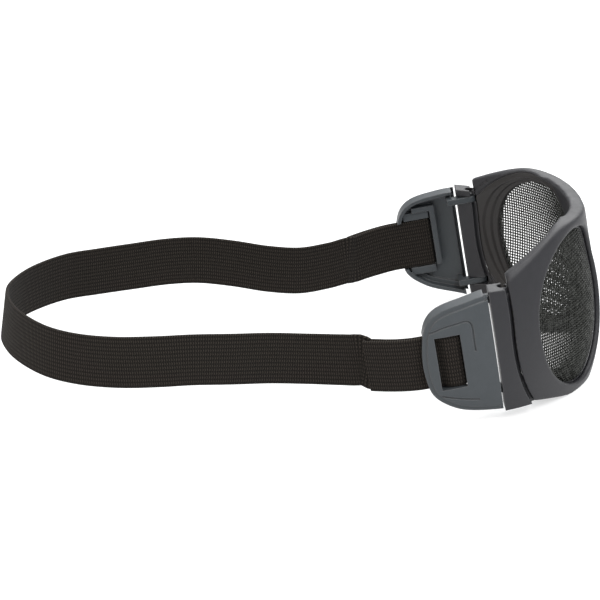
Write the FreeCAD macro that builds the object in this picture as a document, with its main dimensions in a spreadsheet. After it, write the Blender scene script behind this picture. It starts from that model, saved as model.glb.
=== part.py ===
import FreeCAD, Part
import math
import os
import Sketcher

from FreeCAD import Placement, Rotation, Vector

# Mesh safety glasses: a moulded front frame with two woven steel lenses, a hinge wing and a
# swivelling strap bracket on each side, and one elastic strap that wraps a bar in each bracket.
# +X is the wearer's left, -Y is the front and +Z is up. Lengths are millimetres.
# The face of the frame lies on a barrel: a surface of revolution about a vertical axis, whose
# radius is largest near the lower third and shrinks along an arc towards brow and cheek.

# Driving sizes, kept in the sheet. Names ending in Share are pure numbers.
SIZES = {
    # barrel that frame, wings and brackets lie on
    "barrelRadius": 77.0,
    "barrelBulge": 147.0,
    "barrelWaist": 23.0,
    "barrelAxisY": 27.0,
    "noseSwell": 3.7,
    "noseSwellLow": 2.0,
    "noseSwellTop": 54.0,
    "browSwell": 1.7,
    "browSwellLow": 52.0,
    "browSwellTop": 73.0,
    "headInset": 4.5,
    "headSetBack": 13.5,
    # front frame
    "frameInset": 5.0,
    "frameHeight": 78.0,
    "frameDrop": 5.8,
    "rimWall": 2.6,
    "rimRound": 0.8,
    "cavityMargin": 2.6,
    "bridgeCavityHalf": 12.0,
    "bridgeCavityLow": 30.5,
    "bridgeCavityTop": 70.0,
    "bridgeDip": 4.2,
    "bridgeDipRadius": 12.0,
    "bridgeDipBow": 28.0,
    "bridgeDipHeight": 61.0,
    "noseRoomRadius": 27.0,
    "noseRoomAxisY": -22.0,
    "noseDepth": 7.4,
    "sealLip": 0.9,
    "sealGroove": 0.9,
    "sealGrooveDepth": 1.4,
    # lenses
    "lensInset": 9.6,
    "lensDrop": 4.4,
    "lensSheet": 0.6,
    "gridPitch": 6.2,
    "gridBar": 1.5,
    "gridBorder": 1.2,
    "hemThickness": 0.45,
    "hemShow": 0.8,
    "retainerStep": 0.9,
    "retainerSteps": 3.0,
    "retainerClear": 1.2,
    "retainerStepWidth": 1.05,
    "seatGap": 0.05,
    # hinge wing
    "slitTiltDegrees": 10.1,
    "slitWidth": 0.8,
    "wingDrop": 20.7,
    "wingBottom": 1.1,
    "wingThickness": 8.3,
    "wingSkin": 2.2,
    "wingTongueDepth": 6.2,
    "grooveTop": 0.3,
    "grooveReach": 15.8,
    "grooveWidth": 1.6,
    "innerGrooveWidth": 2.6,
    # hinge
    "hingeDepth": 13.2,
    "hingeAhead": 7.0,
    "pinRadius": 1.25,
    "pinLength": 10.6,
    "pinHeadRadius": 2.1,
    "pinHeadHeight": 1.4,
    "pinSink": 3.0,
    "pinRunning": 0.08,
    "armHeight": 3.0,
    "armEye": 2.7,
    "armOuter": 1.8,
    "armGap": 0.35,
    "upperArmDrop": 6.7,
    "lowerArmLow": 6.2,
    "swingOutDegrees": 15.0,
    # strap bracket
    "bracketLength": 38.5,
    "bracketDrop": 1.7,
    "bracketPlate": 2.4,
    "bracketRimDepth": 8.0,
    "bracketRimWall": 1.8,
    "bracketStepDepth": 1.3,
    "bracketStepWall": 4.2,
    "bracketLip": 0.8,
    "bracketRebate": 1.6,
    "pocketWall": 2.6,
    "pocketRise": 6.9,
    "pocketReturn": 9.0,
    "ledgeWidth": 2.2,
    "ledgeDepth": 0.7,
    "lineWidth": 0.8,
    "lineDepth": 0.5,
    "windowFront": 15.0,
    "windowLength": 11.4,
    "windowDrop": 40.0,
    "windowRoom": 0.4,
    "barGrip": 6.0,
    "barWidth": 4.4,
    "barThickness": 1.7,
    "barDepth": 5.5,
    "barSocket": 1.5,
    # strap
    "strapWidth": 25.0,
    "strapThickness": 1.6,
    "strapGap": 0.2,
    "strapTuck": 0.7,
    "strapEase": 0.12,
    "strapTurn": 1.95,
    "strapCrown": 1.4,
    "wrapExit": 44.0,
    "tailExit": 57.6,
    "tailLean": 7.6,
    "strapReach": 231.0,
    "strapInset": 6.0,
    "strapDrop": 19.9,
    "bodyGap": 0.3,
    "overrun": 30.0,
}

# Front view outlines, right half of the wearer's frame. Each pair is a share of the frame's
# half width and height, or of the lens opening's reach from the middle and its height.
FRAME_OUTLINE_SHARES = [
    (0.0, 0.957), (0.17, 0.966), (0.38, 0.977), (0.55, 0.975), (0.68, 0.947), (0.79, 0.893),
    (0.895, 0.815), (0.985, 0.71), (1.01, 0.56), (1.01, 0.36), (0.985, 0.16), (0.925, 0.035),
    (0.82, -0.014), (0.71, -0.048), (0.6, -0.076), (0.45, -0.079), (0.345, -0.068),
    (0.292, -0.032), (0.252, 0.043), (0.2, 0.14), (0.135, 0.235), (0.07, 0.312), (0.0, 0.345),
]
# Side view of the frame's upper edge, both numbers shares of frameHeight, front to rear.
BROW_LINE_SHARES = [
    (-0.72, 1.1), (-0.55, 1.06), (-0.42, 1.02), (-0.33, 0.985), (-0.24, 0.944),
    (-0.16, 0.903), (-0.086, 0.864), (0.0, 0.818), (0.08, 0.776), (0.2, 0.71),
]
LENS_OUTLINE_SHARES = [
    (1.0, 0.46), (0.988, 0.355), (0.945, 0.222), (0.895, 0.139), (0.825, 0.066),
    (0.742, 0.014), (0.617, -0.021), (0.497, -0.008), (0.39, 0.068), (0.285, 0.19),
    (0.191, 0.333), (0.142, 0.5), (0.155, 0.685), (0.228, 0.838), (0.355, 0.94), (0.5, 0.979),
    (0.65, 0.968), (0.785, 0.905), (0.885, 0.815), (0.952, 0.705), (0.99, 0.585),
]
# Side view of the groove between frame and wing: shares of grooveReach (forwards, less
# grooveTop) and of the wing's height, from the top down.
GROOVE_SHARES = [
    (-0.2, 1.2), (-0.02, 1.0), (0.105, 0.837), (0.235, 0.584), (0.492, 0.279), (0.745, 0.105),
    (1.0, -0.03), (1.32, -0.18),
]
# Side view of a strap bracket: shares of its length and height.
BRACKET_OUTLINE_SHARES = [
    (0.05, 0.002), (0.23, 0.014), (0.41, 0.027), (0.56, 0.05), (0.675, 0.084), (0.775, 0.125),
    (0.855, 0.178), (0.93, 0.287), (0.985, 0.44), (1.0, 0.56), (0.995, 0.68), (0.965, 0.765),
    (0.885, 0.845), (0.75, 0.903), (0.56, 0.95), (0.41, 0.984), (0.275, 1.008), (0.1, 1.035),
]
# Moulded lines on the bracket's outside, as shares of its length and height.
PANEL_LINE_SHARES = [
    (1.02, 0.695), (0.9, 0.722), (0.745, 0.768), (0.6, 0.798), (0.525, 0.812), (0.475, 0.806),
    (0.447, 0.785), (0.428, 0.735), (0.405, 0.63), (0.385, 0.565),
]
LOWER_LINE_SHARES = [(0.83, 0.182), (0.68, 0.162), (0.5, 0.144), (0.31, 0.13)]
# Plan of half the strap from the bracket to the back of the head: shares of strapReach and
# of its half width, then its upper edge in side view: shares of strapReach and of its top.
STRAP_PLAN_SHARES = [
    (0.277, 0.853), (0.295, 0.832), (0.325, 0.797), (0.385, 0.75),
    (0.455, 0.76), (0.53, 0.815), (0.605, 0.85), (0.675, 0.852), (0.75, 0.815),
    (0.825, 0.745), (0.89, 0.64), (0.945, 0.455), (0.982, 0.245), (1.0, 0.0),
]
STRAP_EDGE_SHARES = [
    (0.13, 0.995), (0.19, 0.962), (0.24, 0.925), (0.3, 0.862), (0.38, 0.818), (0.48, 0.852),
    (0.59, 0.908), (0.7, 0.882), (0.79, 0.84), (0.9, 0.853), (1.03, 0.885),
]

doc = FreeCAD.newDocument("MeshSafetyGlasses")
sheet = doc.addObject("Spreadsheet::Sheet", "Sizes")
for row, (name, value) in enumerate(SIZES.items(), start=1):
    sheet.set("A%d" % row, name)
    sheet.set("B%d" % row, str(value))
    sheet.setAlias("B%d" % row, name)
doc.recompute()


def size(name):
    return float(sheet.get(name))


FAR = size("overrun")
TILT = size("slitTiltDegrees")
UP = Vector(0, 0, 1)
RIGHT = Vector(1, 0, 0)
BACK = Vector(0, 1, 0)
ORIGIN = Vector(0, 0, 0)


# Sizes that follow other sizes

def frame_half_width():
    return size("barrelRadius") - size("frameInset")


def head_radius():
    return size("barrelRadius") - size("headInset")


def head_axis_y():
    return size("barrelAxisY") + size("headSetBack")


def lens_reach():
    return frame_half_width() - size("lensInset")


def lens_height():
    return size("frameHeight") - size("lensDrop")


def hinge_inset():
    return size("barrelRadius") - size("hingeDepth")


def wing_top():
    return size("frameHeight") - size("wingDrop")


def upper_arm_low():
    return wing_top() - size("upperArmDrop")


def bracket_height():
    return wing_top() - size("bracketDrop")


def window_low():
    return wing_top() - size("windowDrop")


def window_height():
    return size("strapWidth") + size("windowRoom")


def pocket_top():
    return window_low() + window_height() + size("pocketRise")


def bar_length():
    return size("strapWidth") + size("barGrip")


def strap_half_width():
    return size("barrelRadius") - size("strapInset")


def strap_top():
    return wing_top() - size("strapDrop")


# Shared surfaces

def barrel_radius(height):
    drop = height - size("barrelWaist")
    bulge = size("barrelBulge")
    return size("barrelRadius") - bulge + math.sqrt(bulge ** 2 - drop ** 2)


def ease(value, start, end):
    share = min(max((value - start) / (end - start), 0.0), 1.0)
    return math.cos(share * math.pi / 2)


def barrel(inset):
    """Solid of revolution inside the barrel surface, moved in by inset."""
    low = -size("frameDrop") - FAR
    top = size("frameHeight") + FAR
    middle = size("barrelWaist")
    points = [Vector(barrel_radius(z) - inset, 0, z) for z in (low, middle, top)]
    profile = Part.Wire([
        Part.LineSegment(Vector(0, 0, low), points[0]).toShape(),
        Part.Arc(*points).toShape(),
        Part.LineSegment(points[2], Vector(0, 0, top)).toShape(),
        Part.LineSegment(Vector(0, 0, top), Vector(0, 0, low)).toShape(),
    ])
    solid = Part.Face(profile).revolve(ORIGIN, UP, 360)
    solid.translate(Vector(0, size("barrelAxisY"), 0))
    return solid


SWELL_FLAT_DEGREES = 12.0
SWELL_END_DEGREES = 54.0
SECTION_STEPS = 24
SECTION_HALF_DEGREES = 84.0
SECTION_SHARES = (-0.13, 0.02, 0.17, 0.32, 0.47, 0.62, 0.77, 0.92, 1.07)
face_cache = {}


def face_blank(inset):
    """Solid behind the frame's face, moved in by inset: the barrel with its front swollen."""
    if inset in face_cache:
        return face_cache[inset]
    sections = []
    for share in SECTION_SHARES:
        height = share * size("frameHeight")
        swell = size("noseSwell") * ease(height, size("noseSwellLow"), size("noseSwellTop"))
        brow = 1 - ease(height, size("browSwellLow"), size("browSwellTop"))
        swell += size("browSwell") * brow
        points = []
        for step in range(SECTION_STEPS + 1):
            degrees = SECTION_HALF_DEGREES * (2 * step / SECTION_STEPS - 1)
            side = ease(abs(degrees), SWELL_FLAT_DEGREES, SWELL_END_DEGREES) ** 2
            radius = barrel_radius(height) + swell * side - inset
            angle = math.radians(degrees)
            y = size("barrelAxisY") - radius * math.cos(angle)
            points.append(Vector(radius * math.sin(angle), y, height))
        curve = Part.BSplineCurve()
        curve.interpolate(points)
        chord = Part.LineSegment(points[-1], points[0])
        sections.append(Part.Wire([curve.toShape(), chord.toShape()]))
    face_cache[inset] = Part.makeLoft(sections, True, False)
    return face_cache[inset]


# Outlines and prisms

def smooth_face(points):
    curve = Part.BSplineCurve()
    curve.interpolate(points, PeriodicFlag=True)
    return Part.Face(Part.Wire([curve.toShape()]))


def moved_out(points, distance):
    """Closed outline of (a, b) pairs, counter to clock, moved out along its normals."""
    moved = []
    for index, (a, b) in enumerate(points):
        before = points[index - 1]
        after = points[(index + 1) % len(points)]
        run_a = after[0] - before[0]
        run_b = after[1] - before[1]
        length = math.hypot(run_a, run_b)
        moved.append((a + distance * run_b / length, b - distance * run_a / length))
    return moved


def counter_clock(points):
    area = sum(p[0] * q[1] - q[0] * p[1] for p, q in zip(points, points[1:] + points[:1]))
    return points if area > 0 else points[::-1]


def front_prism(points):
    """Prism along Y from a front view outline."""
    depth = head_radius() + FAR
    face = smooth_face([Vector(x, -depth, z) for x, z in points])
    return face.extrude(BACK * (depth + FAR))


def block(low, high):
    sizes = [high[i] - low[i] for i in range(3)]
    return Part.makeBox(*sizes, Vector(*low))


def lens_outline(margin):
    reach = lens_reach()
    points = [(a * reach, b * lens_height()) for a, b in LENS_OUTLINE_SHARES]
    return moved_out(counter_clock(points), margin)


def both_sides(shape):
    return shape.fuse(shape.mirror(ORIGIN, RIGHT))


def tilted(shape):
    """Takes a shape from the slit's own frame (Y rearward, Z along the slit) into place."""
    shape.rotate(ORIGIN, RIGHT, -TILT)
    return shape


def hinge_cylinder(radius, low, high):
    """Cylinder on the hinge axis, in the slit's own frame."""
    base = Vector(hinge_inset(), -size("hingeAhead"), low)
    return Part.makeCylinder(radius, high - low, base)


# Front frame

def groove_line(shift):
    """Side view of the frame's rear end beside the wing, moved rearward by shift."""
    run = size("grooveReach")
    top = size("grooveTop")
    line = [(top - a * run + shift, b * wing_top()) for a, b in GROOVE_SHARES]
    return line


def behind_groove(shift, near, far):
    """Everything at one side that lies rearward of the groove line."""
    curve = Part.BSplineCurve()
    line = groove_line(shift)
    curve.interpolate([Vector(near, y, z) for y, z in line])
    rear = head_axis_y() + head_radius()
    corners = [Vector(near, rear, line[-1][1]), Vector(near, rear, line[0][1])]
    edges = [curve.toShape()]
    path = [Vector(near, *line[-1])] + corners + [Vector(near, *line[0])]
    for start, end in zip(path, path[1:]):
        edges.append(Part.LineSegment(start, end).toShape())
    return Part.Face(Part.Wire(edges)).extrude(RIGHT * (far - near))


def head(extra):
    """The wearer's head behind the face flange, larger by extra."""
    height = size("frameHeight") + 2 * FAR
    base = Vector(0, head_axis_y(), -FAR)
    return Part.makeCylinder(head_radius() + extra, height, base)


def above_brow():
    """Everything above the frame's upper edge in side view."""
    tall = size("frameHeight")
    near = -frame_half_width() - FAR
    curve = Part.BSplineCurve()
    line = [Vector(near, a * tall, b * tall) for a, b in BROW_LINE_SHARES]
    curve.interpolate(line)
    top = tall + 2 * FAR
    path = [line[-1], Vector(near, line[-1].y, top), Vector(near, line[0].y, top), line[0]]
    edges = [curve.toShape()]
    edges += [Part.LineSegment(a, b).toShape() for a, b in zip(path, path[1:])]
    return Part.Face(Part.Wire(edges)).extrude(RIGHT * (-2 * near))


def bridge_dip():
    """Spindle on an upright axis ahead of the face that hollows the bridge slightly."""
    bow = size("bridgeDipBow")
    radius = size("bridgeDipRadius")
    middle = size("bridgeDipHeight")
    half = math.sqrt(bow ** 2 - (bow - radius) ** 2)
    ends = (Vector(0, 0, middle - half), Vector(0, 0, middle + half))
    arc = Part.Arc(ends[0], Vector(radius, 0, middle), ends[1]).toShape()
    profile = Part.Face(Part.Wire([arc, Part.LineSegment(ends[1], ends[0]).toShape()]))
    spindle = profile.revolve(ORIGIN, UP, 360)
    face_y = size("barrelAxisY") - barrel_radius(middle)
    spindle.translate(Vector(0, face_y + size("bridgeDip") - radius, 0))
    return spindle


def bridge_block():
    """Block behind the bridge, from between the lenses to the wearer's head."""
    low = (-size("bridgeCavityHalf"), -head_radius(), size("bridgeCavityLow"))
    return block(low, (size("bridgeCavityHalf"), FAR, size("bridgeCavityTop")))


def nose_room():
    """Bore and block behind the bridge that leave room for the nose and a shallow frame."""
    tall = size("frameHeight") + 2 * FAR
    base = Vector(0, size("noseRoomAxisY"), -FAR)
    bore = Part.makeCylinder(size("noseRoomRadius"), tall, base)
    return bore.fuse(bridge_block()).common(face_blank(size("noseDepth")))


def rounded_openings(frame):
    """The frame with the front edges of its lens openings and bridge dip rounded."""
    front = max(frame.Faces, key=lambda face: face.Area)
    inner = [wire for wire in front.Wires if not wire.isSame(front.OuterWire)]
    edges = [edge for wire in inner for edge in wire.Edges]
    return frame.makeFillet(size("rimRound"), edges)


def make_front_frame():
    half = frame_half_width()
    tall = size("frameHeight")
    right = [(a * half, b * tall) for a, b in FRAME_OUTLINE_SHARES]
    left = [(-x, z) for x, z in right[-2:0:-1]]
    outline = front_prism(right + left)
    frame = face_blank(0.0).common(outline).cut(head(0.0))
    frame = frame.cut([above_brow(), bridge_dip(), nose_room()])
    opening = both_sides(front_prism(lens_outline(0.0)))
    cavity = both_sides(front_prism(lens_outline(size("cavityMargin"))))
    frame = frame.cut(opening)
    frame = frame.cut(cavity.common(face_blank(size("rimWall"))))
    lip = size("cavityMargin") + size("sealLip")
    ring = both_sides(front_prism(lens_outline(lip + size("sealGroove"))))
    ring = ring.cut(both_sides(front_prism(lens_outline(lip))))
    ring = ring.cut(bridge_block())
    frame = frame.cut(ring.common(head(size("sealGrooveDepth"))))
    inner = hinge_inset() - size("wingThickness") - FAR
    frame = frame.cut(both_sides(behind_groove(0.0, inner, half + FAR)))
    for room in arm_rooms():
        frame = frame.cut(both_sides(room))
    foot = block((-half - FAR, -FAR * 3, -FAR * 2), (half + FAR, FAR, -size("frameDrop")))
    return rounded_openings(frame.cut(foot))


# Lens stack

HALF = 0.5


def lens_ring(outer, inner, front, back):
    """Ring or sheet between two depths behind the face; no inner outline makes a sheet."""
    slab = face_blank(front).cut(face_blank(back))
    ring = front_prism(lens_outline(outer))
    if inner is not None:
        ring = ring.cut(front_prism(lens_outline(inner)))
    return slab.common(ring)


def mesh_openings():
    """Plain grid of radial openings that stands for the weave, inside the hem."""
    pitch = size("gridPitch")
    hole = pitch - size("gridBar")
    border = front_prism(lens_outline(-size("hemShow") - size("gridBorder")))
    axis = Vector(0, size("barrelAxisY"), 0)
    reach = size("barrelRadius") + FAR
    turn = math.degrees(pitch / size("barrelRadius"))
    columns = int(lens_reach() / pitch)
    rows = int(lens_height() / pitch) + 1
    cells = []
    for column in range(columns + 1):
        for row in range(rows):
            low = (row - HALF) * pitch
            cell = block((-hole / 2, axis.y - reach, low), (hole / 2, axis.y - FAR, low + hole))
            cell.rotate(axis, UP, (column + HALF) * turn)
            cells.append(cell.common(border))
    return Part.makeCompound([cell for cell in cells if cell.Solids])


def lens_stack():
    seat = size("seatGap")
    margin = size("cavityMargin")
    hem_front = size("rimWall") + seat
    hem_back = hem_front + size("hemThickness")
    mesh_front = hem_back + seat
    mesh_back = mesh_front + size("lensSheet")
    hem = lens_ring(margin - seat, -size("hemShow"), hem_front, hem_back)
    mesh = lens_ring(margin - 3 * seat, None, mesh_front, mesh_back)
    mesh = mesh.cut(mesh_openings())
    front = mesh_back + seat
    steps = int(size("retainerSteps"))
    ring = None
    for step in range(steps):
        back = front + size("retainerStep")
        inner = -size("retainerStepWidth") * (steps - 1 - step)
        layer = lens_ring(margin - seat, inner, front, back)
        ring = layer if ring is None else ring.fuse(layer)
        front = back
    near = hinge_inset() - FAR
    retainer = ring.cut(behind_groove(-size("bodyGap"), near, frame_half_width() + FAR))
    return hem, mesh, retainer.cut(head(size("retainerClear"))).removeSplitter()


# Hinge wing, bracket and hinge arms, made for the wearer's left and mirrored

def ahead_of_slit(u):
    """Half space with slit frame Y below u."""
    reach = size("barrelRadius") + FAR
    return tilted(block((0, -reach, -reach), (reach, u, 2 * reach)))


def arm_spans():
    tall = size("armHeight")
    return [(upper_arm_low(), upper_arm_low() + tall),
            (size("lowerArmLow"), size("lowerArmLow") + tall)]


def arm_rooms():
    """Slots in which the two hinge arms of a bracket swing."""
    ahead = size("hingeAhead")
    inset = hinge_inset()
    gap = size("armGap")
    eye = size("armEye") + gap
    spread = math.tan(math.radians(size("swingOutDegrees")))
    outer = size("armOuter") + gap
    rooms = []
    for low, top in arm_spans():
        start = Vector(inset - FAR, -ahead - eye, low - gap)
        plan = [
            start, Vector(inset, -ahead - eye, low - gap),
            Vector(inset + eye, -ahead, low - gap),
            Vector(inset + outer + ahead * (1 + spread) * spread + gap, 0, low - gap),
            Vector(inset - FAR, 0, low - gap), start,
        ]
        slot = Part.Face(Part.makePolygon(plan)).extrude(UP * (top - low + 2 * gap))
        rooms.append(tilted(slot.fuse(hinge_cylinder(eye, low - gap, top + gap))))
    return rooms


def make_wing():
    half_slit = size("slitWidth") / 2
    near = hinge_inset() - FAR
    far = size("barrelRadius") + FAR
    skin = barrel(0.0).cut(barrel(size("wingSkin")))
    core = barrel(size("wingSkin")).cut(barrel(size("wingTongueDepth")))
    lining = barrel(size("wingTongueDepth")).cut(barrel(size("wingThickness")))
    skin = skin.common(behind_groove(size("grooveWidth"), near, far))
    core = core.common(behind_groove(size("seatGap"), near, far))
    lining = lining.common(behind_groove(size("innerGrooveWidth"), near, far))
    wing = skin.fuse([core, lining])
    wing = wing.common(ahead_of_slit(-half_slit))
    low = -size("wingBottom")
    top = wing_top()
    reach = size("grooveReach") + FAR
    wing = wing.common(block((near, -reach, low), (far, reach, top)))
    wing = wing.cut(arm_rooms())
    for low, top, down in pin_spans():
        bore = hinge_cylinder(size("pinRadius") + size("seatGap"), low - FAR, top)
        sink = hinge_cylinder(size("pinHeadRadius") + size("seatGap"), low - FAR,
                              low + size("pinHeadHeight") + size("seatGap"))
        if not down:
            bore = hinge_cylinder(size("pinRadius") + size("seatGap"), low, top + FAR)
            sink = hinge_cylinder(size("pinHeadRadius") + size("seatGap"),
                                  top - size("pinHeadHeight") - size("seatGap"), top + FAR)
        wing = wing.cut([tilted(bore), tilted(sink)])
    return wing


def pin_spans():
    """Low end, top end and whether the head is at the low end, along the slit frame."""
    length = size("pinLength")
    top = (wing_top() - size("pinSink")) / math.cos(math.radians(TILT))
    low = size("pinSink") - size("wingBottom")
    return [(top - length, top, False), (low, low + length, True)]


def bracket_outline(margin):
    long = size("bracketLength")
    tall = bracket_height()
    points = [(a * long, b * tall) for a, b in BRACKET_OUTLINE_SHARES]
    closed = [(-long, points[0][1]), *points, (-long, points[-1][1])]
    return moved_out(counter_clock(closed), margin)


def bracket_prism(margin):
    near = hinge_inset() - FAR
    points = [Vector(near, y, z) for y, z in bracket_outline(margin)]
    curve = Part.BSplineCurve()
    curve.interpolate(points[1:-1])
    ends = [points[-2], points[-1], points[0], points[1]]
    edges = [curve.toShape()]
    edges += [Part.LineSegment(a, b).toShape() for a, b in zip(ends, ends[1:])]
    face = Part.Face(Part.Wire(edges))
    return face.extrude(RIGHT * (size("barrelRadius") + FAR - near))


def make_bracket():
    half_slit = size("slitWidth") / 2
    plate = barrel(0.0).cut(barrel(size("bracketPlate"))).common(bracket_prism(0.0))
    rim = barrel(size("bracketPlate")).cut(barrel(size("bracketRimDepth")))
    rim = rim.common(bracket_prism(0.0).cut(bracket_prism(-size("bracketRimWall"))))
    step = barrel(size("bracketPlate")).cut(barrel(size("bracketPlate") + size("bracketStepDepth")))
    rim = rim.fuse(step.common(bracket_prism(0.0).cut(bracket_prism(-size("bracketStepWall")))))
    reach = size("barrelRadius") + FAR
    low = window_low()
    top = low + window_height()
    gap = size("bodyGap")
    mouth = block((0, size("windowFront"), low - gap),
                  (reach, reach, top + gap))
    rim = rim.cut(tilted(mouth))
    bracket = plate.fuse(rim).cut(ahead_of_slit(half_slit))
    rebate = ahead_of_slit(half_slit + size("bracketRebate"))
    bracket = bracket.cut(rebate.common(barrel(size("bracketLip"))))
    window = block((0, size("windowFront"), low),
                   (reach, size("windowFront") + size("windowLength"), top))
    tuck = block((0, size("windowFront") - size("strapTuck"), low),
                 (tail_line()[0][0] + size("strapTurn"), size("windowFront"), top))
    bracket = bracket.cut([tilted(window), tilted(tuck)])
    ledge = bracket_prism(FAR).cut(bracket_prism(-size("ledgeWidth")))
    bracket = bracket.cut(ledge.cut(barrel(size("ledgeDepth"))))
    for shares in (PANEL_LINE_SHARES, LOWER_LINE_SHARES):
        bracket = bracket.cut(moulded_line(shares).cut(barrel(size("lineDepth"))))
    bracket = bracket.fuse(bar_sockets() + [pocket_wall()])
    bracket = bracket.cut(tilted(bar_block(size("seatGap"))))
    inset = hinge_inset()
    ahead = size("hingeAhead")
    root = half_slit + size("bracketRebate") + size("armGap")
    skin = size("barrelRadius")
    arms = []
    for low, top in arm_spans():
        bar = block((inset - size("armEye"), -ahead, low),
                    (inset + size("armOuter"), root + size("armEye"), top))
        leg = block((inset - size("armEye"), root, low), (skin, root + size("armEye"), top))
        arm = hinge_cylinder(size("armEye"), low, top).fuse([bar, leg])
        arms.append(tilted(arm).common(barrel(size("bracketPlate") / 2)))
    bracket = bracket.fuse(arms)
    for low, top in arm_spans():
        radius = size("pinRadius") + size("pinRunning")
        bracket = bracket.cut(tilted(hinge_cylinder(radius, low - size("armGap"), top + size("armGap"))))
    return bracket


def moulded_line(shares):
    """Upright wall along a line in side view, as wide as a moulded line."""
    long = size("bracketLength")
    tall = bracket_height()
    line = [(a * long, b * tall) for a, b in shares]
    face = ribbon_face(line, size("lineWidth"), 0)
    face.rotate(ORIGIN, Vector(1, 1, 1), 120)
    return face.extrude(RIGHT * (size("barrelRadius") + FAR))


def pocket_wall():
    """Wall inside the plate that bounds the strap's pocket, with a short return on top."""
    wall = size("pocketWall")
    near = size("barrelRadius") - size("bracketRimDepth")
    rear = size("windowFront") - size("strapTuck")
    top = pocket_top()
    skin = size("barrelRadius")
    upright = block((near, rear - wall, window_low()), (skin, rear, top))
    over = block((near, rear - wall, top - wall), (skin, rear + size("pocketReturn"), top))
    wall_room = barrel(size("bracketPlate") / 2)
    return tilted(upright.fuse(over)).common(wall_room)


def bar_sockets():
    """Two blocks inside the plate that hold the ends of the crossbar."""
    room = bar_block(size("barSocket")).BoundBox
    rear = size("windowFront") + size("windowLength") + size("barSocket")
    below = window_low() - size("bodyGap")
    above = window_low() + window_height() + size("bodyGap")
    plate = size("barrelRadius") - size("bracketPlate") / 2
    sockets = []
    for low, top in ((room.ZMin, below), (above, room.ZMax)):
        socket = block((room.XMin, room.YMin, low), (plate, rear, top))
        sockets.append(tilted(socket).common(barrel(size("bracketPlate") / 2)))
    return sockets


BAR_SET_BACK = 2 / 3


def bar_block(extra):
    """Room for the crossbar that the strap wraps, in the slit's own frame."""
    turn = size("strapTurn")
    middle = size("windowFront") - size("strapTuck") + size("strapGap")
    middle += size("strapThickness") / 2 + turn * BAR_SET_BACK + size("barWidth") / 2
    outer = size("barrelRadius") - size("barDepth") + size("barThickness") + extra
    inner = size("barrelRadius") - size("barDepth") - extra
    half_width = size("barWidth") / 2 + extra
    centre = window_low() + window_height() / 2
    half_length = bar_length() / 2 + extra
    return block((inner, middle - half_width, centre - half_length),
                 (outer, middle + half_width, centre + half_length))


# Strap

TAIL_STEPS = 16
TAIL_POWER = 1.6
ARC_STEPS = 10
SLOPE_STEPS = 5


def ribbon_sides(line, thickness, height):
    """Both sides, at a height, of a ribbon round a centre line of (x, y) pairs."""
    left = []
    right = []
    for index, (x, y) in enumerate(line):
        before = line[max(index - 1, 0)]
        after = line[min(index + 1, len(line) - 1)]
        run_x = after[0] - before[0]
        run_y = after[1] - before[1]
        length = math.hypot(run_x, run_y)
        shift_x = thickness / 2 * run_y / length
        shift_y = -thickness / 2 * run_x / length
        left.append(Vector(x + shift_x, y + shift_y, height))
        right.append(Vector(x - shift_x, y - shift_y, height))
    return left, right


def ribbon_face(line, thickness, height):
    """Flat face at a height round a gently curved centre line."""
    left, right = ribbon_sides(line, thickness, height)
    first = Part.BSplineCurve()
    first.interpolate(left)
    second = Part.BSplineCurve()
    second.interpolate(right)
    return Part.Face(Part.Wire([
        first.toShape(), Part.LineSegment(left[-1], right[-1]).toShape(),
        second.toShape(), Part.LineSegment(right[0], left[0]).toShape(),
    ]))


def tail_line():
    """Centre line of the webbing's tail, from the rear of the window to its cut end."""
    plate_inner = size("barrelRadius") - size("bracketPlate") - size("strapCrown")
    tail_x = plate_inner - size("strapGap") - size("strapThickness") / 2
    start = size("windowFront") + size("windowLength") - size("strapThickness") / 2
    end = size("tailExit")
    bend = size("bracketLength") - 2 * size("strapTurn")
    line = []
    for step in range(TAIL_STEPS + 1):
        y = start + (end - start) * step / TAIL_STEPS
        share = max(y - bend, 0.0) / (end - bend)
        line.append((tail_x - size("tailLean") * share ** TAIL_POWER, y))
    return line


def make_wrap():
    """Webbing round the bar: in under the bracket, out over the bar and back as the tail."""
    thick = size("strapThickness")
    turn = size("strapTurn")
    tail = tail_line()
    main_x = tail[0][0] - thick - size("strapGap")
    crown_x = main_x + 2 * turn
    turn_y = size("windowFront") - size("strapTuck") + size("strapGap") + thick / 2 + turn
    line = []
    _, inner = ribbon_sides(tail, 2 * (thick + size("strapGap")), 0)
    exit_y = size("wrapExit")
    for point, follower in zip(inner[::-1], inner[-2::-1]):
        if follower.y >= exit_y:
            continue
        if point.y > exit_y:
            share = (point.y - exit_y) / (point.y - follower.y)
            line.append((point.x + (follower.x - point.x) * share, exit_y))
        line.append((follower.x, follower.y))
    for step in range(ARC_STEPS + 1):
        angle = math.pi * step / ARC_STEPS
        x = main_x + turn * (1 - math.cos(angle))
        line.append((x, turn_y - turn * math.sin(angle)))
    bar_end = bar_block(0.0).BoundBox.YMax
    for step in range(SLOPE_STEPS):
        share = step / SLOPE_STEPS
        drop = (1 - math.cos(math.pi * share)) / 2
        y = bar_end + (tail[0][1] - bar_end) * share
        line.append((crown_x + (tail[0][0] - crown_x) * drop, y))
    line += tail
    left, right = ribbon_sides(line, thick, strap_low())
    face = Part.Face(Part.makePolygon(left + right[::-1] + left[:1]))
    return tilted(face.extrude(UP * size("strapWidth")))


def strap_start():
    """Half space ahead of the strap loop's ends, in place."""
    return ahead_of_slit(size("wrapExit") + size("bodyGap"))


def strap_low():
    """Lower edge of the wrapped webbing along the slit."""
    return window_low() + size("windowRoom") / 2


def loop_start():
    """Plan of the strap loop's end, beside the inner side of the webbing's tail."""
    offset = size("strapThickness") + size("strapGap") + size("strapEase")
    _, inner = ribbon_sides(tail_line(), 2 * offset, 0)
    lean = math.radians(TILT)
    low = strap_low()
    places = [(point.x, point.y * math.cos(lean) + low * math.sin(lean)) for point in inner]
    return [place for place in places if place[1] > size("wrapExit")]


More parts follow.
